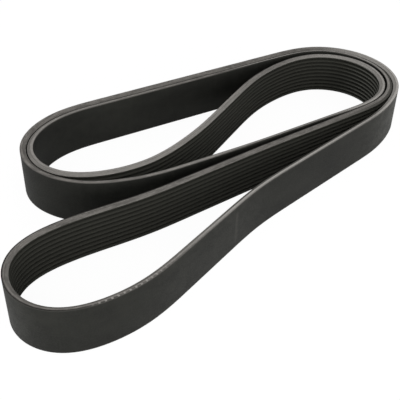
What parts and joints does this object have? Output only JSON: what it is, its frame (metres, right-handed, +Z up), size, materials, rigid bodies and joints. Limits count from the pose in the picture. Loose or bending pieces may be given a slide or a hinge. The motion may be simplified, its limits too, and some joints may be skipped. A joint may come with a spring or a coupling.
{
  "type": "serpentine belt",
  "caption": "Endless multi-ribbed rubber drive belt, folded into lobes and standing on its cut edge; it carries power between an engine's pulleys.",
  "frame": {"origin": "centre of the folded belt's bounding box, on the surface that its lower cut edge stands on", "axes": "+Z up across the belt's width, +X to the right and +Y away from the viewer as the picture shows it, with the long direction of the fold nearest +Y"},
  "size_m": [0.301, 0.338, 0.0356],
  "materials": {
    "belt_rubber": "matte black rubber, smooth back, ribbed inner face, lighter ground cut edges"
  },
  "bodies": {
    "root": {"belt": "belt_rubber"}
  },
  "joints": []
}
